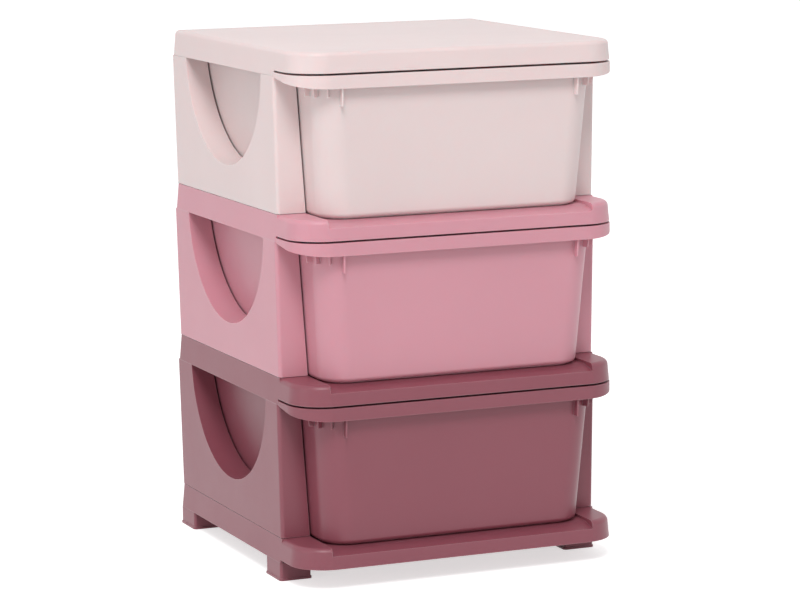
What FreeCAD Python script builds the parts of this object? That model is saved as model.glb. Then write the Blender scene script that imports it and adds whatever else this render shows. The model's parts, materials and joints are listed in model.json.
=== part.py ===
import FreeCAD, Part
import Sketcher
import os
import re

# Toy storage unit: three tapered pull-out bins in a frame of moulded decks, side panels and back panels.
# Millimetres. The origin is on the floor under the middle, the front faces -Y and +Z is up.

driving_sizes = {
    # whole unit
    "overall_width": 372,
    "overall_depth": 383,
    "overhang": 68,
    "panel_height": 145,
    "wall": 2.2,
    "fit_gap": 0.3,
    # decks: the top cover and the three shelves
    "top_band": 28,
    "shelf_band": 28,
    "base_band": 26,
    "band_flare": 2.5,
    "band_wall": 3,
    "plate": 3,
    "front_corner": 40,
    "rear_corner": 8,
    "top_edge": 5,
    "shelf_edge": 6,
    "lip_step": 6,
    "base_lip_step": 3.5,
    "channel_drop": 3,
    # side panels
    "panel_taper": 2.5,
    "post_top": 25,
    "post_bottom": 32,
    "post_edge": 4,
    "cutout_front": 35.4,
    "cutout_rear": 46.4,
    "cutout_sill": 37.5,
    # tongues, tabs and their sockets
    "tongue_height": 8,
    "tongue_wall": 3,
    "tab_wall": 4,
    "tab_length": 26,
    "tab_inset": 22,
    "tab_drop": 7,
    "socket_wall": 3,
    "socket_drop": 1,
    # back panels
    "back_rim": 10,
    "back_gap": 0.5,
    "back_tab_spread": 60,
    "back_tongue_spread": 115,
    # drawers
    "rim_side_gap": 2,
    "floor_side_gap": 2,
    "rear_gap": 3,
    "lip_gap": 2,
    "lip_proud": 1,
    "lip_height": 14,
    "lip_rise": 9,
    "lip_wall": 2.5,
    "lip_end_gap": 1,
    "finger_gap": 8.5,
    "front_draft": 10.5,
    "rear_draft": 9,
    "rim_front_corner": 28,
    "floor_front_corner": 30,
    "bin_rear_corner": 20,
    "bin_bottom_edge": 5,
    "rim_height": 5,
    "rim_proud": 1.5,
    "gusset_wall": 2,
    "gusset_reach": 7,
    "gusset_root": 4,
    "gusset_long": 30,
    "gusset_short": 21,
    "gusset_first_angle": 5,
    "gusset_step_angle": 28,
    # feet
    "foot_height": 20,
    "foot_width": 37,
    "foot_depth": 45,
    "foot_edge": 4,
    "foot_floor": 3,
    "toe_height": 2.5,
    "toe_proud": 1,
    "plug_inset": 10,
    "plug_height": 12,
}

doc = FreeCAD.newDocument("storage_unit")
sheet = doc.addObject("Spreadsheet::Sheet", "sizes")
for row, (alias, number) in enumerate(driving_sizes.items(), start=1):
    sheet.set("A%d" % row, alias)
    sheet.set("B%d" % row, str(number))
    sheet.setAlias("B%d" % row, alias)
doc.recompute()


# A formula is written with the sheet's plain aliases; bound() turns it into an expression on the sheet.
def bound(formula):
    def named(found):
        text = found.group()
        return "sizes." + text if text in driving_sizes else text
    return re.sub(r"[a-z_]+", named, formula)


def number_of(formula):
    return float(sheet.evalExpression(bound(formula)))


def bind(item, prop, formula):
    item.setExpression(prop, bound(formula))


# Sketches

def new_body(label, level):
    body = doc.addObject("PartDesign::Body", label)
    body.Label = label
    bind(body, "Placement.Base.z", level)
    return body


def new_sketch(body, name, role, lift="0"):
    sketch = body.newObject("Sketcher::SketchObject", name)
    plane = [item for item in body.Origin.OriginFeatures if item.Role == role][0]
    sketch.AttachmentSupport = (plane, "")
    sketch.MapMode = "FlatFace"
    bind(sketch, "AttachmentOffset.Base.z", lift)
    return sketch


def pin(sketch, edge, end, across, along):
    for kind, formula in (("DistanceX", across), ("DistanceY", along)):
        place = sketch.addConstraint(Sketcher.Constraint(kind, -1, 1, edge, end, number_of(formula)))
        sketch.setExpression("Constraints[%d]" % place, bound(formula))


def spot(across, along):
    return FreeCAD.Vector(number_of(across), number_of(along), 0)


def direction(start, end):
    return (spot(*end[:2]) - spot(*start[:2])).normalize()


# A closed loop. A corner is (across, along), or (across, along, radius) where two square sides meet in a
# tangent quarter round, or (across, along, radius, middle) where an arc about that middle starts. Arcs run
# anticlockwise.
def loop(sketch, corners):
    stops = []
    for index, corner in enumerate(corners):
        if len(corner) == 2:
            stops.append((corner[0], corner[1], None))
            continue
        if len(corner) == 4:
            across, along, radius, middle = corner
            stops.append((across, along, (radius, spot(*middle))))
            continue
        across, along, radius = corner
        coming = direction(corners[index - 1], corner)
        going = direction(corner, corners[(index + 1) % len(corners)])
        enter = ("(%s) - (%s) * %d" % (across, radius, round(coming.x)),
                 "(%s) - (%s) * %d" % (along, radius, round(coming.y)))
        leave = ("(%s) + (%s) * %d" % (across, radius, round(going.x)),
                 "(%s) + (%s) * %d" % (along, radius, round(going.y)))
        stops.append(enter + ((radius, spot(*enter) + going * number_of(radius)),))
        stops.append(leave + (None,))
    edges = []
    for index, (across, along, turn) in enumerate(stops):
        start = spot(across, along)
        end = spot(*stops[(index + 1) % len(stops)][:2])
        if turn is None:
            edges.append(sketch.addGeometry(Part.LineSegment(start, end), False))
        else:
            radius, middle = turn
            round_edge = Part.Circle(middle, FreeCAD.Vector(0, 0, 1), number_of(radius))
            arc = Part.ArcOfCircle(round_edge, round_edge.parameter(start), round_edge.parameter(end))
            edges.append(sketch.addGeometry(arc, False))
            place = sketch.addConstraint(Sketcher.Constraint("Radius", edges[-1], number_of(radius)))
            sketch.setExpression("Constraints[%d]" % place, bound(radius))
        pin(sketch, edges[-1], 1, across, along)
    for index, edge in enumerate(edges):
        after = edges[(index + 1) % len(edges)]
        sketch.addConstraint(Sketcher.Constraint("Coincident", edge, 2, after, 1))


def circle(sketch, across, along, radius):
    ring = Part.Circle(spot(across, along), FreeCAD.Vector(0, 0, 1), number_of(radius))
    edge = sketch.addGeometry(ring, False)
    place = sketch.addConstraint(Sketcher.Constraint("Radius", edge, number_of(radius)))
    sketch.setExpression("Constraints[%d]" % place, bound(radius))
    pin(sketch, edge, 3, across, along)


def rectangle(sketch, middle_across, middle_along, width, depth, *radius):
    left = "(%s) - (%s) / 2" % (middle_across, width)
    right = "(%s) + (%s) / 2" % (middle_across, width)
    front = "(%s) - (%s) / 2" % (middle_along, depth)
    rear = "(%s) + (%s) / 2" % (middle_along, depth)
    corners = ((left, front), (right, front), (right, rear), (left, rear))
    loop(sketch, [corner + radius for corner in corners])


# The plan of a deck or a bin: square at the sides, with its own front and rear corner radii.
def plan(body, name, lift, half, front, rear, front_radius, rear_radius):
    sketch = new_sketch(body, name, "XY_Plane", lift)
    left = "-(%s)" % half
    loop(sketch, [(left, front, front_radius), (half, front, front_radius),
                  (half, rear, rear_radius), (left, rear, rear_radius)])
    return sketch


# Features

# work out one feature, and stop if it failed
def settle(feature):
    doc.recompute([feature])
    if "Invalid" in feature.State or "Error" in feature.State or feature.Shape.isNull():
        raise RuntimeError("%s failed: %s" % (feature.Name, feature.getStatusString()))
    return feature


def pad(body, name, sketch, length, reverse=False):
    feature = body.newObject("PartDesign::Pad", name)
    feature.Profile = sketch
    bind(feature, "Length", length)
    feature.Reversed = reverse
    return settle(feature)


def pocket(body, name, sketch, length=None, reverse=False):
    feature = body.newObject("PartDesign::Pocket", name)
    feature.Profile = sketch
    if length is None:
        feature.SideType = "Symmetric"
        feature.Type = "ThroughAll"
    else:
        bind(feature, "Length", length)
        feature.Reversed = reverse
    settle(feature)
    if feature.Shape.Volume >= feature.BaseFeature.Shape.Volume:
        raise RuntimeError("%s cuts nothing" % name)
    return feature


# a ruled body between two plans, drawn from the upper one down so that its faces point outwards
def loft(body, name, kind, low, high):
    feature = body.newObject("PartDesign::" + kind, name)
    feature.Profile = high
    feature.Sections = [low]
    feature.Ruled = True
    return settle(feature)


def round_edges(body, name, base, chosen, radius):
    names = ["Edge%d" % place for place, edge in enumerate(base.Shape.Edges, start=1) if chosen(edge)]
    feature = body.newObject("PartDesign::Fillet", name)
    feature.Base = (base, names)
    bind(feature, "Radius", radius)
    return settle(feature)


def near(first, second):
    return abs(first - second) < 0.01


def level_edge(height):
    return lambda edge: all(near(vertex.Z, height) for vertex in edge.Vertexes)


# Places that several pieces share

half_width = "overall_width / 2"
half_depth = "overall_depth / 2"
panel_front = "(overhang - %s)" % half_depth
tier_pitch = "(panel_height + shelf_band)"
first_floor = "(foot_height + base_band)"
inner_top = "(%s - post_top)" % half_width
inner_bottom = "(%s - panel_taper - post_bottom)" % half_width
tongue_outer_inset = "(band_wall + band_flare * tongue_height / shelf_band + fit_gap)"
tongue_middle = "(%s - %s - tongue_wall / 2)" % (half_width, tongue_outer_inset)
back_face = "(%s - %s)" % (half_depth, tongue_outer_inset)
back_tongue_middle = "(%s - tongue_wall / 2)" % back_face
back_tab_middle = "(%s - back_rim / 2)" % back_face
tab_middle = "(%s - panel_taper - post_bottom / 2)" % half_width
front_tab = "(%s + tab_inset)" % panel_front
rear_tab = "(%s - panel_taper - tab_inset)" % half_depth
centre_tab = "((%s + %s) / 2)" % (front_tab, rear_tab)
drawer_level = "(fit_gap - channel_drop)"
drawer_height = "(panel_height + lip_step - lip_gap - %s)" % drawer_level
lip_bottom = "(%s - lip_height)" % drawer_height
lip_end = "(%s - lip_end_gap)" % panel_front
sides = {"left": -1, "right": 1}
tiers = ("lower", "middle", "upper")


def tier_floor(tier):
    return "%s + %d * %s" % (first_floor, tier, tier_pitch)


def tier_ceiling(tier):
    return "%s + panel_height" % tier_floor(tier)


# half the clear width between the side panels at a height above the tier's floor
def clear_half(height):
    return "(%s + (%s) * (%s - %s) / panel_height)" % (inner_bottom, height, inner_top, inner_bottom)


bin_bottom_half = "(%s - floor_side_gap)" % clear_half(drawer_level)
bin_top_half = "(%s - rim_side_gap)" % clear_half("%s + %s" % (drawer_height, drawer_level))
bin_front_top = "(finger_gap - %s)" % half_depth
bin_front_bottom = "(%s + front_draft)" % bin_front_top
bin_rear_top = "(%s - back_rim - rear_gap)" % back_face
bin_rear_bottom = "(%s - rear_draft)" % bin_rear_top


# Decks: upside-down trays with a flared band and a front lip that stands out over the drawer below

def deck_plan(body, name, lift, inset):
    rear = "%s - (%s)" % (half_depth, inset)
    return plan(body, name, lift, "%s - (%s)" % (half_width, inset), "lip_proud - (%s)" % rear, rear,
                "front_corner - (%s)" % inset, "rear_corner - (%s)" % inset)


def on_both_sides(places):
    return [(side, place) for side in sides.values() for place in places]


def deck_shell(label, level, band, edge):
    body = new_body(label, level)
    outer_low = deck_plan(body, label + "_outer_low", "0", "0")
    outer_high = deck_plan(body, label + "_outer_high", band, "band_flare")
    outer = loft(body, label + "_outer", "AdditiveLoft", outer_low, outer_high)
    round_edges(body, label + "_edge", outer, level_edge(number_of(band)), edge)
    return body


# the square-edged part of a shelf that the panels of the tier above stand on
def shelf_seat(body, label, band):
    ends = []
    for name, lift, inset in (("low", "0", "0"), ("high", band, "band_flare")):
        sketch = new_sketch(body, "%s_seat_%s" % (label, name), "XY_Plane", lift)
        half = "(%s - %s)" % (half_width, inset)
        rear = "(%s - %s)" % (half_depth, inset)
        radius = "(rear_corner - %s)" % inset
        loop(sketch, [("-%s" % half, panel_front), (half, panel_front), (half, rear, radius),
                      ("-%s" % half, rear, radius)])
        ends.append(sketch)
    loft(body, label + "_seat", "AdditiveLoft", ends[0], ends[1])
    # the drawer runs in a shallow channel between the panels, open at the front
    channel = new_sketch(body, label + "_channel_plan", "XY_Plane", band)
    ahead = "-%s - wall" % half_depth
    loop(channel, [("-%s" % inner_bottom, ahead), (inner_bottom, ahead), (inner_bottom, bin_rear_top),
                   ("-%s" % inner_bottom, bin_rear_top)])
    pocket(body, label + "_channel", channel, "channel_drop")


def deck_hollow(body, label, band, under, step):
    low = deck_plan(body, label + "_inner_low", "0", "band_wall")
    lean = "band_flare * %s / %s" % (under, band)
    high = deck_plan(body, label + "_inner_high", under, "band_wall + " + lean)
    loft(body, label + "_hollow", "SubtractiveLoft", low, high)
    # the front lip ends a little above the side bands, over the drawer's own lip
    profile = new_sketch(body, label + "_lip_profile", "YZ_Plane")
    ahead = "-%s - wall" % half_depth
    loop(profile, [(ahead, "-wall"), (panel_front, "-wall"), (panel_front, step), (ahead, step)])
    pocket(body, label + "_lip_step", profile)


# short walls that hold the tongues of the panels below against the band
def deck_sockets(body, label, under):
    sketch = new_sketch(body, label + "_socket_plan", "XY_Plane", "socket_drop")
    behind = "(tongue_wall / 2 + fit_gap + socket_wall / 2)"
    for side, place in on_both_sides((front_tab, rear_tab)):
        across = "%d * (%s - %s)" % (side, tongue_middle, behind)
        rectangle(sketch, across, place, "socket_wall", "tab_length")
    for side in sides.values():
        rectangle(sketch, "%d * back_tongue_spread" % side, "%s - %s" % (back_tongue_middle, behind),
                  "tab_length", "socket_wall")
    pad(body, label + "_sockets", sketch, "%s - socket_drop" % under)


# slots for the bottom tabs of the panels above
def deck_slots(body, label, band):
    slots = new_sketch(body, label + "_slot_plan", "XY_Plane", band)
    wide = "tab_wall + 2 * fit_gap"
    long = "tab_length + 2 * fit_gap"
    for side, place in on_both_sides((front_tab, centre_tab, rear_tab)):
        rectangle(slots, "%d * %s" % (side, tab_middle), place, wide, long)
    for side in sides.values():
        rectangle(slots, "%d * back_tab_spread" % side, back_tab_middle, long, wide)
    pocket(body, label + "_slots", slots, "tab_drop")


# walls under the base that the plugs of the feet push into
def foot_sockets(body, label, under):
    sketch = new_sketch(body, label + "_foot_plan", "XY_Plane")
    wide = "foot_width - 2 * plug_inset + 2 * fit_gap"
    deep = "foot_depth - 2 * plug_inset + 2 * fit_gap"
    for across, along in foot_places.values():
        rectangle(sketch, across, along, "%s + 2 * socket_wall" % wide, "%s + 2 * socket_wall" % deep)
        rectangle(sketch, across, along, wide, deep)
    pad(body, label + "_foot_sockets", sketch, under)


def top_cover():
    body = deck_shell("top_cover", tier_ceiling(2), "top_band", "top_edge")
    under = "(top_band - plate)"
    deck_hollow(body, "top_cover", "top_band", under, "lip_step")
    deck_sockets(body, "top_cover", under)


def shelf(label, tier):
    body = deck_shell(label, tier_ceiling(tier), "shelf_band", "shelf_edge")
    under = "(shelf_band - channel_drop - plate)"
    shelf_seat(body, label, "shelf_band")
    deck_hollow(body, label, "shelf_band", under, "lip_step")
    deck_sockets(body, label, under)
    deck_slots(body, label, "shelf_band")


def base_shelf():
    body = deck_shell("base_shelf", "foot_height", "base_band", "shelf_edge")
    under = "(base_band - channel_drop - plate)"
    shelf_seat(body, "base_shelf", "base_band")
    deck_hollow(body, "base_shelf", "base_band", under, "base_lip_step")
    foot_sockets(body, "base_shelf", under)
    deck_slots(body, "base_shelf", "base_band")


# Side panels: drafted trays, open towards the drawer, with a round cut-out below the deck above

def side_panel(label, side, tier):
    body = new_body(label, tier_floor(tier))
    ends = []
    for name, lift, inner, outer, rear in (
            ("foot", "0", inner_bottom, "(%s - panel_taper)" % half_width, "%s - panel_taper" % half_depth),
            ("head", "panel_height", inner_top, half_width, half_depth)):
        sketch = new_sketch(body, "%s_%s" % (label, name), "XY_Plane", lift)
        inside = "%d * %s" % (side, inner)
        outside = "%d * %s" % (side, outer)
        loop(sketch, [(inside, panel_front), (outside, panel_front), (outside, rear), (inside, rear)])
        ends.append(sketch)
    block = loft(body, label + "_block", "AdditiveLoft", ends[0], ends[1])

    def outer_post(edge):
        low, high = sorted(vertex.Z for vertex in edge.Vertexes)
        outermost = min(abs(vertex.X) for vertex in edge.Vertexes)
        return high - low > number_of("panel_height") / 2 and outermost > number_of(inner_top)

    round_edges(body, label + "_posts", block, outer_post, "post_edge")
    # the cut-out's round leaves a post at either end of the panel's head, and a sill under it
    arch = new_sketch(body, label + "_cutout_profile", "YZ_Plane")
    span = "((%s - %s - cutout_front - cutout_rear) / 2)" % (half_depth, panel_front)
    drop = "(panel_height - cutout_sill)"
    bow = "((%s ^ 2 + %s ^ 2) / (2 * %s))" % (span, drop, drop)
    middle = ("(%s + cutout_front + %s)" % (panel_front, span), "(cutout_sill + %s)" % bow)
    circle(arch, middle[0], middle[1], bow)
    pocket(body, label + "_cutout", arch)
    # the hollow behind the outer face keeps a wall at every edge and round the cut-out
    hollow = new_sketch(body, label + "_hollow_profile", "YZ_Plane", "%d * %s" % (side, inner_bottom))
    front = "%s + wall" % panel_front
    rear = "%s - panel_taper - wall" % half_depth
    head = "panel_height - wall"
    radius = "(%s + wall)" % bow
    reach = "sqrt(%s ^ 2 - (%s - (%s)) ^ 2)" % (radius, middle[1], head)
    loop(hollow, [(front, "wall"), (front, head), ("%s - %s" % (middle[0], reach), head, radius, middle),
                  ("%s + %s" % (middle[0], reach), head), (rear, head), (rear, "wall")])
    pocket(body, label + "_hollow", hollow, "post_bottom - wall", reverse=side > 0)

    tongues = new_sketch(body, label + "_tongue_plan", "XY_Plane", "panel_height - wall / 2")
    for place in (front_tab, rear_tab):
        rectangle(tongues, "%d * %s" % (side, tongue_middle), place, "tongue_wall", "tab_length")
    pad(body, label + "_tongues", tongues, "tongue_height + wall / 2")
    tabs = new_sketch(body, label + "_tab_plan", "XY_Plane", "wall / 2")
    for place in (front_tab, centre_tab, rear_tab):
        rectangle(tabs, "%d * %s" % (side, tab_middle), place, "tab_wall", "tab_length")
    pad(body, label + "_tabs", tabs, "tab_drop + wall / 2", reverse=True)


# Back panels: shallow trays between the side panels, hollow towards the drawer

def back_panel(label, tier):
    body = new_body(label, tier_floor(tier))

    def tray(name, lift, inset):
        sketch = new_sketch(body, "%s_%s" % (label, name), "XZ_Plane", lift)
        low = "(%s)" % inset
        high = "(panel_height - %s)" % inset
        foot = "(%s - back_gap - %s)" % (clear_half(low), inset)
        head = "(%s - back_gap - %s)" % (clear_half(high), inset)
        loop(sketch, [("-%s" % foot, low), (foot, low), (head, high), ("-%s" % head, high)])
        return sketch

    inner_face = "back_rim - %s" % back_face
    pad(body, label + "_tray", tray("outline", inner_face, "0"), "back_rim", reverse=True)
    pocket(body, label + "_hollow", tray("inside", inner_face, "wall"), "back_rim - wall")
    tongues = new_sketch(body, label + "_tongue_plan", "XY_Plane", "panel_height - wall / 2")
    tabs = new_sketch(body, label + "_tab_plan", "XY_Plane", "wall / 2")
    for side in sides.values():
        rectangle(tongues, "%d * back_tongue_spread" % side, back_tongue_middle,
                  "tab_length", "tongue_wall")
        rectangle(tabs, "%d * back_tab_spread" % side, back_tab_middle, "tab_length", "tab_wall")
    pad(body, label + "_tongues", tongues, "tongue_height + wall / 2")
    pad(body, label + "_tabs", tabs, "tab_drop + wall / 2", reverse=True)


# Drawers: tapered bins with a pull lip that follows the deck's front, and gussets round the front corners

def lip_plan(body, name, inset, end):
    sketch = new_sketch(body, name, "XY_Plane", lip_bottom)
    half = "(%s - %s)" % (half_width, inset)
    front = "%s - %s" % (inset, half_depth)
    radius = "(front_corner + lip_proud - %s)" % inset
    loop(sketch, [("-%s" % half, front, radius), (half, front, radius), (half, end), ("-%s" % half, end)])
    return sketch


# the bin's outline at its floor or at its rim, moved inwards by an inset
bin_outlines = {
    "floor": (bin_bottom_half, bin_front_bottom, bin_rear_bottom, "floor_front_corner"),
    "rim": (bin_top_half, bin_front_top, bin_rear_top, "rim_front_corner"),
}


def bin_plan(body, name, lift, outline, inset):
    half, front, rear, front_radius = bin_outlines[outline]
    return plan(body, name, lift, "(%s - (%s))" % (half, inset), "%s + (%s)" % (front, inset),
                "%s - (%s)" % (rear, inset), "%s - (%s)" % (front_radius, inset),
                "bin_rear_corner - (%s)" % inset)


# one gusset stands on the corner's own radius, turned from straight ahead towards the side
def gusset_plan(sketch, side, angle):
    middle_across = "%d * (%s - rim_front_corner)" % (side, bin_top_half)
    middle_along = "%s + rim_front_corner" % bin_front_top
    root = "(rim_front_corner - gusset_root)"
    tip = "(rim_front_corner + gusset_reach)"
    corners = []
    for radius, offset in ((root, -1), (tip, -1), (tip, 1), (root, 1)):
        shift = "%d * gusset_wall / 2" % offset
        sideways = "(%s * sin(%s) + %s * cos(%s))" % (radius, angle, shift, angle)
        across = "%s + %d * %s" % (middle_across, side, sideways)
        along = "%s - %s * cos(%s) + %s * sin(%s)" % (middle_along, radius, angle, shift, angle)
        corners.append((across, along))
    loop(sketch, corners)


def drawer(label, tier):
    body = new_body(label, "%s + %s" % (tier_floor(tier), drawer_level))
    pad(body, label + "_lip", lip_plan(body, label + "_lip_plan", "0", lip_end), "lip_height")
    # the lip's lower edge rises towards its ends
    slant = new_sketch(body, label + "_slant_profile", "YZ_Plane")
    lip_front = "-%s" % half_depth
    loop(slant, [(lip_front, lip_bottom), (lip_end, lip_bottom), (lip_end, "%s + lip_rise" % lip_bottom)])
    pocket(body, label + "_slant", slant)
    # the grip behind it is open below and at both ends
    grip = lip_plan(body, label + "_grip_plan", "lip_wall", "%s + wall" % lip_end)
    pocket(body, label + "_grip", grip, "lip_height - lip_wall", reverse=True)

    in_flange = "%s - lip_wall / 2" % drawer_height
    for name, steps, length in (("long", (0,), "gusset_long"), ("short", (1, 2, 3), "gusset_short")):
        sketch = new_sketch(body, "%s_%s_gusset_plan" % (label, name), "XY_Plane", in_flange)
        for side, step in on_both_sides(steps):
            gusset_plan(sketch, side, "(gusset_first_angle + %d * gusset_step_angle)" % step)
        pad(body, "%s_%s_gussets" % (label, name), sketch, "%s + lip_wall / 2" % length, reverse=True)

    low = bin_plan(body, label + "_low", "0", "floor", "0")
    high = bin_plan(body, label + "_high", drawer_height, "rim", "0")
    outer = loft(body, label + "_outer", "AdditiveLoft", low, high)
    round_edges(body, label + "_bottom", outer, level_edge(0), "bin_bottom_edge")
    rim = bin_plan(body, label + "_rim_plan", "%s - rim_height" % drawer_height, "rim", "-rim_proud")
    pad(body, label + "_rim", rim, "rim_height")
    low_inside = bin_plan(body, label + "_low_inside", "wall", "floor", "wall")
    high_inside = bin_plan(body, label + "_high_inside", drawer_height, "rim", "wall")
    inside = loft(body, label + "_inside", "SubtractiveLoft", low_inside, high_inside)
    inside_floor = level_edge(number_of("wall"))
    round_edges(body, label + "_inside_bottom", inside, inside_floor, "bin_bottom_edge - wall")


# Feet: cups with a flat sole and a small toe rim, plugged into the base

foot_places = {}
for side_name, side in sides.items():
    across = "%d * (%s - foot_width / 2)" % (side, half_width)
    foot_places["front_%s_foot" % side_name] = (across, "(%s + foot_depth / 2)" % panel_front)
    foot_places["rear_%s_foot" % side_name] = (across, "(%s - foot_depth / 2)" % half_depth)


def foot(label, across, along):
    body = new_body(label, "0")
    plug_top = "foot_height + plug_height"

    def block_plan(name, lift, inset, *radius):
        sketch = new_sketch(body, "%s_%s_plan" % (label, name), "XY_Plane", lift)
        wide = "foot_width - 2 * %s" % inset
        deep = "foot_depth - 2 * %s" % inset
        rectangle(sketch, across, along, wide, deep, *radius)
        return sketch

    pad(body, label + "_toe", block_plan("toe", "0", "0", "foot_edge"), "toe_height")
    pad(body, label + "_leg", block_plan("leg", "0", "toe_proud", "foot_edge - toe_proud"), "foot_height")
    pad(body, label + "_plug", block_plan("plug", "foot_floor", "plug_inset"), "%s - foot_floor" % plug_top)
    pocket(body, label + "_hollow", block_plan("hollow", plug_top, "(plug_inset + wall)"),
           "%s - foot_floor" % plug_top)


top_cover()
shelf("upper_shelf", 1)
shelf("lower_shelf", 0)
base_shelf()
for tier, tier_name in enumerate(tiers):
    for side_name, side in sides.items():
        side_panel("%s_%s_panel" % (tier_name, side_name), side, tier)
    back_panel("%s_back_panel" % tier_name, tier)
    drawer("%s_drawer" % tier_name, tier)
for label, (across, along) in foot_places.items():
    foot(label, across, along)
doc.recompute()

# Every feature has to be sound, and every piece one valid solid, before any file is written.
for item in doc.Objects:
    if "Invalid" in item.State or "Error" in item.State:
        raise RuntimeError("%s failed: %s" % (item.Name, item.State))
pieces = [item for item in doc.Objects if item.TypeId == "PartDesign::Body"]
for piece in pieces:
    if piece.Shape.isNull() or not piece.Shape.isValid() or len(piece.Shape.Solids) != 1:
        raise RuntimeError("%s is not one valid solid" % piece.Label)
os.makedirs("parts", exist_ok=True)
for piece in pieces:
    piece.Shape.exportStep("parts/%s.step" % piece.Label)
    print("%-20s %8.1f cm3" % (piece.Label, piece.Shape.Volume / 1000))
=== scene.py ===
import bmesh
import bpy
import json
import math
from mathutils import Matrix, Vector


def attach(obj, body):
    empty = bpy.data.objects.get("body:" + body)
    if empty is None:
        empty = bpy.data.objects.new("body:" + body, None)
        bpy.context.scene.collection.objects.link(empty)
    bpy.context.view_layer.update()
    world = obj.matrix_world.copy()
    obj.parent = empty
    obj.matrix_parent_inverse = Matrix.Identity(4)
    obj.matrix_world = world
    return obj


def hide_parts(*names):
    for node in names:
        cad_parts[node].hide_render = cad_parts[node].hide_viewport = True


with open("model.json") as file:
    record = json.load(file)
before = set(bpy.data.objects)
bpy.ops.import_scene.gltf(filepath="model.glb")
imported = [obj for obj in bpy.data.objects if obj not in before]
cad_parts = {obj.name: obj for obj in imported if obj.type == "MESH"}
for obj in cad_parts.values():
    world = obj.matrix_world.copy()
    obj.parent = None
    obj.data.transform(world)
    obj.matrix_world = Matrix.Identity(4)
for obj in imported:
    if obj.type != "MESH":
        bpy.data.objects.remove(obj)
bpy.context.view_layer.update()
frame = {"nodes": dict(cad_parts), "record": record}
mm = 0.001


# a node socket that takes part in plain arithmetic; add() makes every other node
class Wire:
    def __init__(self, tree, socket=None):
        self.tree = tree
        self.socket = socket

    def add(self, kind, settings=None, sockets=None, output=0):
        node = self.tree.nodes.new(kind)
        for name, value in (settings or {}).items():
            if name == "items":
                while len(node.index_switch_items) < value:
                    node.index_switch_items.new()
            else:
                setattr(node, name, value)
        for name, value in (sockets or {}).items():
            for each in value if isinstance(value, list) else [value]:
                if isinstance(each, Wire):
                    self.tree.links.new(each.socket, node.inputs[name])
                else:
                    node.inputs[name].default_value = each
        return Wire(self.tree, node.outputs[output] if node.outputs else None)

    def maths(self, operation, *values):
        return self.add("ShaderNodeMath", {"operation": operation}, dict(enumerate(values)))

    def __add__(self, other):
        return self.maths("ADD", self, other)

    def __radd__(self, other):
        return self.maths("ADD", other, self)

    def __sub__(self, other):
        return self.maths("SUBTRACT", self, other)

    def __rsub__(self, other):
        return self.maths("SUBTRACT", other, self)

    def __mul__(self, other):
        return self.maths("MULTIPLY", self, other)

    def __rmul__(self, other):
        return self.maths("MULTIPLY", other, self)

    def __truediv__(self, other):
        return self.maths("DIVIDE", self, other)

    def __rtruediv__(self, other):
        return self.maths("DIVIDE", other, self)

    def __mod__(self, other):
        return self.maths("FLOORED_MODULO", self, other)

    def __lt__(self, other):
        return self.maths("LESS_THAN", self, other)

    def __gt__(self, other):
        return self.maths("GREATER_THAN", self, other)


# Moulded plastic: one recipe, three tints

plasticLooks = {
    "light_pink": {"tint": (0.79, 0.648, 0.642), "bleed": (1.0, 0.42, 0.45), "rough": 0.42, "glow": 0.40},
    "mid_pink": {"tint": (0.645, 0.30, 0.36), "bleed": (1.0, 0.3, 0.38), "rough": 0.40, "glow": 0.30},
    "dark_rose": {"tint": (0.262, 0.072, 0.098), "bleed": (1.0, 0.25, 0.32), "rough": 0.38, "glow": 0.20},
}

plasticSurface = {
    "cloudScale": 7.0,       # broad unevenness of the pigment, per metre
    "cloudDepth": 0.05,
    "grainScale": 900.0,     # fine moulded grain, per metre
    "grainHeight": 0.03 * mm,
    "grainGloss": 0.05,      # how far the grain breaks up the gloss
    "poreScale": 540.0,
    "poreShare": 0.4,        # of the bump; the grain makes the rest
    "bumpStrength": 0.5,
    "smudgeScale": 24.0,     # handling marks, in the gloss and along the edges' rub and painted highlight
    "smudgeDepth": 0.10,
    "smudgeEdgeShare": 0.6,        # how much of the edges' rub and painted highlight the marks break up
    "edgeReach": 1.4 * mm,   # how far from an edge the rub and painted highlight show
    "edgeTurn": 0.25,        # the turn at which an edge gets its full rub and painted highlight
    # how far the edges are painted towards white: partly rub, partly a painted highlight along the moulded edges
    "edgeFadeAndHighlight": 0.18,
    "edgePolish": 0.06,
    "glowDepth": 4.0 * mm,   # how far light wanders through the wall
    "ior": 1.49,
}


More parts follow.
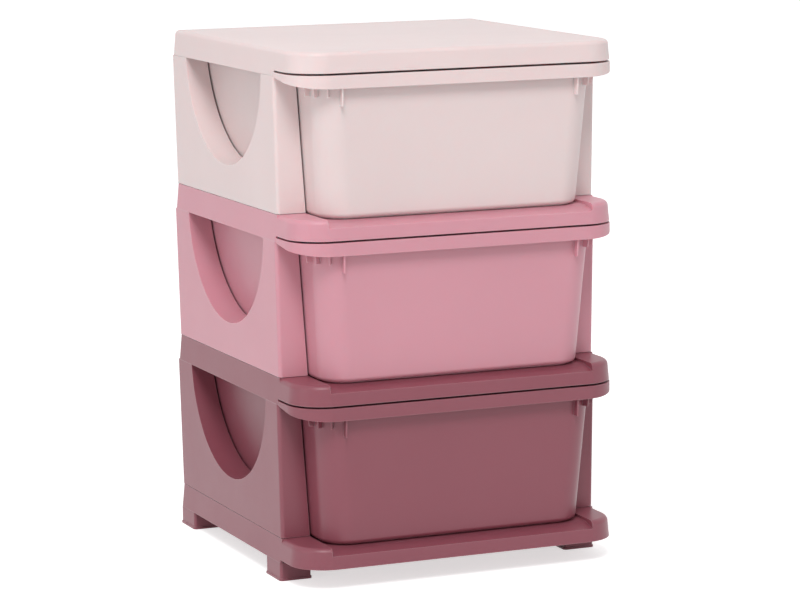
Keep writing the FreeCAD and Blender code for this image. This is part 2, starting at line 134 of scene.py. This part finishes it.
def plasticMaterial(name, look):
    s = plasticSurface
    material = bpy.data.materials.new(name)
    material.use_nodes = True
    tree = material.node_tree
    tree.nodes.clear()
    root = Wire(tree)
    place = root.add("ShaderNodeTexCoord", output="Object")
    cloud = root.add("ShaderNodeTexNoise", None, {"Vector": place, "Scale": s["cloudScale"], "Detail": 3.0}, "Fac")
    smudge = root.add("ShaderNodeTexNoise", None, {"Vector": place, "Scale": s["smudgeScale"], "Detail": 6.0,
                                                   "Roughness": 0.6}, "Fac")
    grain = root.add("ShaderNodeTexNoise", None, {"Vector": place, "Scale": s["grainScale"], "Detail": 2.0}, "Fac")
    pores = root.add("ShaderNodeTexVoronoi", None, {"Vector": place, "Scale": s["poreScale"]}, "Distance")

    # how much the surface turns within a small radius: high along the moulded edges
    turned = root.add("ShaderNodeBevel", {"samples": 4}, {"Radius": s["edgeReach"]}, "Normal")
    straight = root.add("ShaderNodeNewGeometry", output="Normal")
    facing = root.add("ShaderNodeVectorMath", {"operation": "DOT_PRODUCT"}, {0: turned, 1: straight}, "Value")
    edge = root.add("ShaderNodeMapRange", {"clamp": True}, {"Value": 1 - facing, "From Max": s["edgeTurn"]})
    # the edges painted paler: partly rub, partly a painted highlight, broken up by the handling marks
    rubAndHighlight = edge * ((1 - s["smudgeEdgeShare"]) + s["smudgeEdgeShare"] * smudge)

    tint = Vector(look["tint"])
    pale = tint.lerp(Vector((1, 1, 1)), s["edgeFadeAndHighlight"])
    deep = tint * (1 - s["cloudDepth"])
    light = tint * (1 + s["cloudDepth"])
    clouded = root.add("ShaderNodeMix", {"data_type": "RGBA"}, {"Factor": cloud, 6: (*deep, 1), 7: (*light, 1)}, 2)
    colour = root.add("ShaderNodeMix", {"data_type": "RGBA"}, {"Factor": rubAndHighlight, 6: clouded, 7: (*pale, 1)}, 2)
    gloss = s["smudgeDepth"] * (smudge - 0.5) + s["grainGloss"] * (grain - 0.5)
    rough = look["rough"] + gloss - s["edgePolish"] * edge
    relief = (1 - s["poreShare"]) * grain + s["poreShare"] * pores
    bump = root.add("ShaderNodeBump", None,
                    {"Strength": s["bumpStrength"], "Distance": s["grainHeight"], "Height": relief})
    shader = root.add("ShaderNodeBsdfPrincipled", None,
                      {"Base Color": colour, "Roughness": rough, "IOR": s["ior"], "Normal": bump,
                       "Subsurface Weight": look["glow"], "Subsurface Radius": look["bleed"],
                       "Subsurface Scale": s["glowDepth"]})
    root.add("ShaderNodeOutputMaterial", None, {"Surface": shader})
    return material


plastics = {name: plasticMaterial(name, look) for name, look in plasticLooks.items()}
print("plastics:", ", ".join(plastics))


# Every moulding gets soft edges, becomes one plain mesh and goes on its body

softEdges = {"segments": 3, "sharpAngle": math.radians(32), "flatAngle": math.radians(0.4), "merge": 0.002 * mm}


def slotOf(node):
    return next(item["material_slot"] for item in frame["record"]["subparts"] if item["node"] == node)


def bodyOf(node):
    return next(body for body, members in frame["record"]["behaviour"]["bodies"].items() if node in members)


def asPlainMesh(piece):
    view = bpy.context.evaluated_depsgraph_get()
    mesh = bpy.data.meshes.new_from_object(piece.evaluated_get(view), preserve_all_data_layers=True, depsgraph=view)
    piece.modifiers.clear()
    piece.data = mesh
    return mesh


def newPiece(name, mesh):
    piece = bpy.data.objects.new(name, mesh)
    bpy.context.scene.collection.objects.link(piece)
    return piece


def settle(piece, node, width):
    bevel = piece.modifiers.new("roundEdges", "BEVEL")
    bevel.width = width
    bevel.segments = softEdges["segments"]
    bevel.limit_method = "ANGLE"
    bevel.angle_limit = softEdges["sharpAngle"]
    bevel.use_clamp_overlap = True
    bevel.miter_outer = "MITER_ARC"
    flat = piece.modifiers.new("flatFaces", "WEIGHTED_NORMAL")
    flat.weight = 100
    mesh = asPlainMesh(piece)
    mesh.materials.clear()
    mesh.materials.append(plastics[slotOf(node)])
    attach(piece, bodyOf(node))
    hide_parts(node)
    print("moulding", piece.name, len(mesh.polygons), "faces")


# Fixed mouldings: copies of the frame's own shapes, cleaned up, with their joints and shelf fronts

edgeWidths = {"cover": 1.0 * mm, "shelf": 0.8 * mm, "panel": 0.8 * mm, "foot": 0.4 * mm}
tierFloors = {"lower": 46.0, "middle": 219.0, "upper": 392.0}     # where each tier's panels stand, in mm
shelfTiers = {"base_shelf": "lower", "lower_shelf": "middle", "upper_shelf": "upper"}
panelJoint = {"gap": 0.5 * mm, "slack": 0.01 * mm}     # the thin open joint under each panel


# flatten is for copies of the frame's triangles; a swept mesh has its normals set right instead
def cleanMesh(mesh, flatten):
    work = bmesh.new()
    work.from_mesh(mesh)
    bmesh.ops.remove_doubles(work, verts=work.verts, dist=softEdges["merge"])
    if flatten:
        bmesh.ops.dissolve_limit(work, angle_limit=softEdges["flatAngle"], verts=work.verts, edges=work.edges)
    else:
        bmesh.ops.dissolve_degenerate(work, dist=softEdges["merge"], edges=work.edges)
        bmesh.ops.recalc_face_normals(work, faces=work.faces)
    for face in work.faces:
        face.smooth = True
    work.to_mesh(mesh)
    work.free()


def liftFoot(mesh, floor):
    for corner in mesh.vertices:
        if abs(corner.co.z - floor) < panelJoint["slack"]:
            corner.co.z += panelJoint["gap"]


# the shelf's front falls away in front of the drawer, all across the channel; depths are below the panels' feet
shelfFront = {
    "start": -169.0, "rear": 174.49, "half": 151.5,     # the channel's outline, where the mesh is cut
    "edge": -186.9, "edgeDepths": (2.9, 5.8),           # the corners of the front edge
    "level": 8.5,                                       # the depth to which they fall
    "insideDepths": (5.9, 6.1),                         # the corners of the underside
    "inside": 5.0, "insideReach": 16.5,                 # the fall of the underside, and over what length
    "slack": 0.02,
}


def rollFront(mesh, floor):
    s = shelfFront
    work = bmesh.new()
    work.from_mesh(mesh)
    cuts = [((0, s["start"] * mm, 0), (0, 1, 0)), ((0, s["rear"] * mm, 0), (0, 1, 0)),
            ((s["half"] * mm, 0, 0), (1, 0, 0)), ((-s["half"] * mm, 0, 0), (1, 0, 0))]
    for place, across in cuts:
        bmesh.ops.bisect_plane(work, geom=work.verts[:] + work.edges[:] + work.faces[:], dist=s["slack"] * mm,
                               plane_co=place, plane_no=across)
    edgeTop, edgeBottom = s["edgeDepths"]
    insideTop, insideBottom = s["insideDepths"]
    for corner in work.verts:
        x, y, z = corner.co / mm
        depth = floor - z
        ahead = s["start"] - y
        if ahead > 0 and abs(x) < s["half"] + s["slack"]:
            if y < s["edge"] and edgeTop < depth < edgeBottom:
                corner.co.z = (floor - s["level"]) * mm
            elif insideTop < depth < insideBottom:
                corner.co.z -= s["inside"] * ahead / s["insideReach"] * mm
    work.to_mesh(mesh)
    work.free()


for node, shape in frame["nodes"].items():
    kind = node.split("_")[-1]
    if kind in edgeWidths:
        mesh = shape.data.copy()
        if kind == "panel":
            liftFoot(mesh, tierFloors[node.split("_")[0]] * mm)
        cleanMesh(mesh, True)
        if node in shelfTiers:
            rollFront(mesh, tierFloors[shelfTiers[node]])
        settle(newPiece(node + "_moulding", mesh), node, edgeWidths[kind])


# Drawers: a tapered bin swept round its own plan, a pull lip and a row of gussets on each front corner

drawerShape = {
    # bin at its floor and at its rim, in mm
    "Height": 151.7, "Floor half": 149.32, "Rim half": 159.26, "Floor front": -172.5, "Rim front": -183.0,
    "Floor rear": 165.49, "Rim rear": 174.49, "Floor corner": 30.0, "Rim corner": 28.0, "Rear corner": 20.0,
    "Bottom edge": 5.0, "Wall": 2.2, "Rim height": 5.0, "Rim proud": 1.5, "Heel height": 1.2, "Heel inset": 6.0,
    # pull lip
    "Lip half": 186.0, "Lip front": -191.5, "Lip corner": 41.0, "Lip end": -124.5, "Lip height": 14.0,
    "Lip rise": 9.0, "Lip wall": 2.5, "Lip sink": 0.4,
    # gussets
    "Gusset wall": 2.0, "Gusset reach": 7.0, "Gusset root": 4.0, "Gusset long": 30.0, "Gusset short": 21.0,
    "Gusset taper": 2.5,
}
drawerDetail = {"cornerSteps": 14, "edgeSteps": 6, "gussets": 4, "gussetFirst": 5.0, "gussetStep": 28.0,
                "edgeWidth": 0.5 * mm, "merge": 0.01 * mm, "clearance": 0.3, "channel": 3.0}


# corners are counted from the rear right, anticlockwise seen from above
def planPoint(root, half, front, rear, frontRadius, rearRadius, inset, corner, angle):
    atFront = corner > 1.5
    toLeft = (corner > 0.5) * (corner < 2.5)
    radius = rearRadius + (frontRadius - rearRadius) * atFront
    hold = root.maths("MAXIMUM", radius, inset)
    reach = root.maths("MAXIMUM", radius - inset, 0.0)
    across = (1 - 2 * toLeft) * (half - hold) + reach * root.maths("COSINE", angle)
    along = rear + (front - rear) * atFront + hold * (2 * atFront - 1) + reach * root.maths("SINE", angle)
    return across, along


def vector(root, x, y, z):
    return root.add("ShaderNodeCombineXYZ", None, {0: x, 1: y, 2: z})


def picked(root, kind, choices):
    sockets = {0: root.add("GeometryNodeInputIndex")}
    sockets.update({place + 1: choice for place, choice in enumerate(choices)})
    return root.add("GeometryNodeIndexSwitch", {"data_type": kind, "items": len(choices)}, sockets)


# the bin's wall in section: inset from the outer plan against height, from under the floor to the inside
def wallSection(root, size):
    z = size["Height"]
    wall = size["Wall"]
    middle = size["Floor half"]
    heel = size["Heel height"]
    innerMiddle = middle + (size["Rim half"] - middle) * wall / z     # the plan is wider at the inside of the floor
    places = [vector(root, middle, 0, 0), vector(root, size["Heel inset"], 0, 0),
              vector(root, size["Heel inset"], 0, heel), vector(root, 0, 0, heel),
              vector(root, 0, 0, z - size["Rim height"]),
              vector(root, 0 - size["Rim proud"], 0, z - size["Rim height"]),
              vector(root, 0 - size["Rim proud"], 0, z), vector(root, wall, 0, z), vector(root, wall, 0, wall),
              vector(root, innerMiddle, 0, wall)]
    radii = [0, 0, 0, size["Bottom edge"], 0, 0, 0, 0, size["Bottom edge"] - wall, 0]
    line = root.add("GeometryNodeMeshLine", None, {"Count": len(places)})
    line = root.add("GeometryNodeSetPosition", None, {"Geometry": line, "Position": picked(root, "VECTOR", places)})
    curve = root.add("GeometryNodeMeshToCurve", None, {"Mesh": line})
    return root.add("GeometryNodeFilletCurve", {"mode": "POLY"},
                    {"Curve": curve, "Radius": picked(root, "FLOAT", radii), "Count": drawerDetail["edgeSteps"]})


def binMesh(root, size):
    steps = drawerDetail["cornerSteps"]
    section = wallSection(root, size)
    stations = root.add("GeometryNodeAttributeDomainSize", {"component": "CURVE"}, {"Geometry": section},
                        "Point Count")
    grid = root.add("GeometryNodeMeshGrid", None, {"Vertices X": 4 * (steps + 1) + 1, "Vertices Y": stations})
    index = root.add("GeometryNodeInputIndex")
    column = root.maths("FLOOR", index / stations)
    corner = root.maths("FLOOR", column % (4 * (steps + 1)) / (steps + 1))
    angle = (corner + column % (steps + 1) / steps) * (math.pi / 2)
    spot = root.add("GeometryNodeSampleIndex", {"data_type": "FLOAT_VECTOR", "domain": "POINT"},
                    {"Geometry": section, "Value": root.add("GeometryNodeInputPosition"),
                     "Index": index - column * stations})
    inset = root.add("ShaderNodeSeparateXYZ", None, {0: spot}, "X")
    height = root.add("ShaderNodeSeparateXYZ", None, {0: spot}, "Z")
    rise = height / size["Height"]

    def between(floor, rim):
        return size[floor] + (size[rim] - size[floor]) * rise

    x, y = planPoint(root, between("Floor half", "Rim half"), between("Floor front", "Rim front"),
                     between("Floor rear", "Rim rear"), between("Floor corner", "Rim corner"), size["Rear corner"],
                     inset, corner, angle)
    swept = root.add("GeometryNodeSetPosition", None, {"Geometry": grid, "Position": vector(root, x, y, height)})
    return root.add("GeometryNodeMergeByDistance", None, {"Geometry": swept, "Distance": drawerDetail["merge"]})


# the lip in section is an angle: a skirt in front and a flange back to the bin; both ends are closed
def lipMesh(root, size):
    steps = drawerDetail["cornerSteps"]
    ring = 6
    last = 2 * steps + 5
    grid = root.add("GeometryNodeMeshGrid", None, {"Vertices X": last + 1, "Vertices Y": ring + 1})
    index = root.add("GeometryNodeInputIndex")
    column = root.maths("FLOOR", index / (ring + 1))
    station = (index % (ring + 1)) % ring
    along = root.maths("MINIMUM", root.maths("MAXIMUM", column - 2, 0.0), 2.0 * steps + 1)
    corner = 2 + root.maths("FLOOR", along / (steps + 1))
    angle = (corner + along % (steps + 1) / steps) * (math.pi / 2)
    atEnd = (column < 1.5) + (column > last - 1.5)
    closed = (column < 0.5) + (column > last - 0.5)

    # stations run: skirt bottom outside, top outside, flange top, flange under, inside corner, skirt bottom inside
    inside = (station > 3.5) * (1 - closed)
    flange = (station > 1.5) * (station < 3.5) * (1 - closed)
    skirt = ((station < 0.5) + (station > 4.5)) * (1 - closed)
    under = (station > 2.5) * (station < 4.5)
    wall = size["Lip wall"]
    outX, outY = planPoint(root, size["Lip half"], size["Lip front"], 0.0, size["Lip corner"], size["Lip corner"],
                           inside * wall + closed * wall / 2, corner, angle)
    binX, binY = planPoint(root, size["Rim half"], size["Rim front"], 0.0, size["Rim corner"], size["Rim corner"],
                           size["Wall"] / 2, corner, angle)
    x = outX + (binX - outX) * flange
    y = outY + (binY - outY) * flange
    y = y + (size["Lip end"] - y) * atEnd
    top = size["Height"] - size["Lip sink"] * flange - wall * under * (1 - closed)
    lift = size["Lip rise"] * (y - size["Lip front"]) / (size["Lip end"] - size["Lip front"])
    z = top + skirt * (lift - size["Lip height"]) - closed * wall / 2
    swept = root.add("GeometryNodeSetPosition", None, {"Geometry": grid, "Position": vector(root, x, y, z)})
    return root.add("GeometryNodeMergeByDistance", None, {"Geometry": swept, "Distance": drawerDetail["merge"]})


# a fin of unit height, thinner towards its foot, is set out round both corners
def gussetMesh(root, size):
    deep = size["Gusset reach"] + size["Gusset root"]
    fin = root.add("GeometryNodeMeshCube", None, {"Size": vector(root, size["Gusset wall"], deep, 1.0)})
    at = root.add("GeometryNodeInputPosition")
    foot = root.add("ShaderNodeSeparateXYZ", None, {0: at}, "Z") < 0
    tip = root.add("ShaderNodeSeparateXYZ", None, {0: at}, "Y") < 0
    fin = root.add("GeometryNodeSetPosition", None,
                   {"Geometry": fin, "Offset": vector(root, 0, size["Gusset taper"] * foot * tip, 0)})

    spots = root.add("GeometryNodeMeshLine", None, {"Count": 2 * drawerDetail["gussets"]})
    index = root.add("GeometryNodeInputIndex")
    side = 2 * (index % 2) - 1
    step = root.maths("FLOOR", index / 2)
    angle = (drawerDetail["gussetFirst"] + drawerDetail["gussetStep"] * step) * (math.pi / 180)
    length = size["Gusset short"] + (size["Gusset long"] - size["Gusset short"]) * (step < 0.5) + size["Lip wall"] / 2
    away = size["Rim corner"] + (size["Gusset reach"] - size["Gusset root"]) / 2
    x = side * (size["Rim half"] - size["Rim corner"] + away * root.maths("SINE", angle))
    y = size["Rim front"] + size["Rim corner"] - away * root.maths("COSINE", angle)
    z = size["Height"] - size["Lip wall"] / 2 - length / 2
    spots = root.add("GeometryNodeSetPosition", None, {"Geometry": spots, "Position": vector(root, x, y, z)})
    fins = root.add("GeometryNodeInstanceOnPoints", None,
                    {"Points": spots, "Instance": fin, "Rotation": vector(root, 0, 0, side * angle),
                     "Scale": vector(root, 1, 1, length)})
    return root.add("GeometryNodeRealizeInstances", None, {"Geometry": fins})


def drawerTree(material):
    tree = bpy.data.node_groups.new("drawer_" + material.name, "GeometryNodeTree")
    tree.interface.new_socket("Geometry", in_out="INPUT", socket_type="NodeSocketGeometry")
    tree.interface.new_socket("Geometry", in_out="OUTPUT", socket_type="NodeSocketGeometry")
    for name in ("Level", *drawerShape):
        tree.interface.new_socket(name, in_out="INPUT", socket_type="NodeSocketFloat")
    root = Wire(tree)
    inlet = tree.nodes.new("NodeGroupInput")
    size = {name: Wire(tree, inlet.outputs[name]) for name in ("Level", *drawerShape)}
    parts = [binMesh(root, size), lipMesh(root, size), gussetMesh(root, size)]
    whole = root.add("GeometryNodeJoinGeometry", None, {"Geometry": parts})
    lift = vector(root, 0, 0, size["Level"])
    whole = root.add("GeometryNodeTransform", None, {"Geometry": whole, "Translation": lift})
    whole = root.add("GeometryNodeRealizeInstances", None, {"Geometry": whole})
    whole = root.add("GeometryNodeSetMaterial", None, {"Geometry": whole, "Material": material})
    root.add("NodeGroupOutput", None, {"Geometry": whole})
    return tree


for tier, floor in tierFloors.items():
    node = tier + "_drawer"
    piece = newPiece(node + "_bin", bpy.data.meshes.new(node + "_bin"))
    maker = piece.modifiers.new("drawer", "NODES")
    tree = drawerTree(plastics[slotOf(node)])
    values = dict(drawerShape, Level=floor + drawerDetail["clearance"] - drawerDetail["channel"])
    maker.node_group = tree
    for item in tree.interface.items_tree:
        if item.name in values:
            maker[item.identifier] = values[item.name] * mm
    cleanMesh(asPlainMesh(piece), False)
    settle(piece, node, drawerDetail["edgeWidth"])


# Studio: pale floor, soft lamps, white surround

studio = {
    "floorSize": 40.0, "floorTint": (0.86, 0.86, 0.86), "floorGlow": 0.62,
    "surround": 0.57,
    "lamps": {
        "keyLamp": {"place": (-1.3, -2.5, 3.5), "size": 1.6, "power": 88.0},
        "sideLamp": {"place": (-3.0, -0.6, 0.9), "size": 1.2, "power": 7.0},
    },
    "aim": (0.0, 0.0, 0.28),
}


def whiteForView(root):
    ray = "ShaderNodeLightPath"
    seen = root.add(ray, output="Is Camera Ray") + root.add(ray, output="Is Glossy Ray")
    return root.maths("MINIMUM", seen + root.add(ray, output="Is Transmission Ray"), 1.0)


def makeFloor():
    half = studio["floorSize"] / 2
    mesh = bpy.data.meshes.new("floor")
    mesh.from_pydata([(-half, -half, 0), (half, -half, 0), (half, half, 0), (-half, half, 0)], [], [(0, 1, 2, 3)])
    material = bpy.data.materials.new("paleFloor")
    material.use_nodes = True
    material.node_tree.nodes.clear()
    root = Wire(material.node_tree)
    paper = root.add("ShaderNodeBsdfDiffuse", None, {"Color": (*studio["floorTint"], 1)})
    glow = root.add("ShaderNodeEmission", None, {"Strength": whiteForView(root) * studio["floorGlow"]})
    both = root.add("ShaderNodeAddShader", None, {0: paper, 1: glow})
    root.add("ShaderNodeOutputMaterial", None, {"Surface": both})
    mesh.materials.append(material)
    newPiece("floor", mesh)


def makeSurround():
    world = bpy.data.worlds.new("surround")
    world.use_nodes = True
    world.node_tree.nodes.clear()
    root = Wire(world.node_tree)
    seen = whiteForView(root)
    level = seen + (1 - seen) * studio["surround"]
    light = root.add("ShaderNodeBackground", None, {"Color": (1, 1, 1, 1), "Strength": level})
    root.add("ShaderNodeOutputWorld", None, {"Surface": light})
    bpy.context.scene.world = world


def makeLamps():
    for name, lamp in studio["lamps"].items():
        data = bpy.data.lights.new(name, "AREA")
        data.shape = "DISK"
        data.size = lamp["size"]
        data.energy = lamp["power"]
        rig = newPiece(name, data)
        rig.location = lamp["place"]
        rig.rotation_euler = (Vector(studio["aim"]) - rig.location).to_track_quat("-Z", "Y").to_euler()


# Camera: the photograph's own viewpoint, angles in degrees

viewpoint = {"place": (-1.3915, -3.2657, 0.8322), "yaw": 23.197, "pitch": 8.970, "roll": -0.520, "lens": 146.42}


def makeCamera():
    yaw, pitch, roll = (math.radians(viewpoint[turn]) for turn in ("yaw", "pitch", "roll"))
    ahead = Vector((math.sin(yaw) * math.cos(pitch), math.cos(yaw) * math.cos(pitch), -math.sin(pitch)))
    level = Vector((math.cos(yaw), -math.sin(yaw), 0))
    upright = level.cross(ahead)
    right = math.cos(roll) * level + math.sin(roll) * upright
    up = math.cos(roll) * upright - math.sin(roll) * level
    data = bpy.data.cameras.new("photoCamera")
    data.lens = viewpoint["lens"]
    camera = newPiece("photoCamera", data)
    turn = Matrix((right, up, -ahead)).transposed()
    camera.matrix_world = Matrix.Translation(viewpoint["place"]) @ turn.to_4x4()
    bpy.context.scene.camera = camera


makeFloor()
makeSurround()
makeLamps()
makeCamera()
bpy.context.scene.view_settings.view_transform = "Standard"
print("studio: floor, surround, %d lamps and camera" % len(studio["lamps"]))
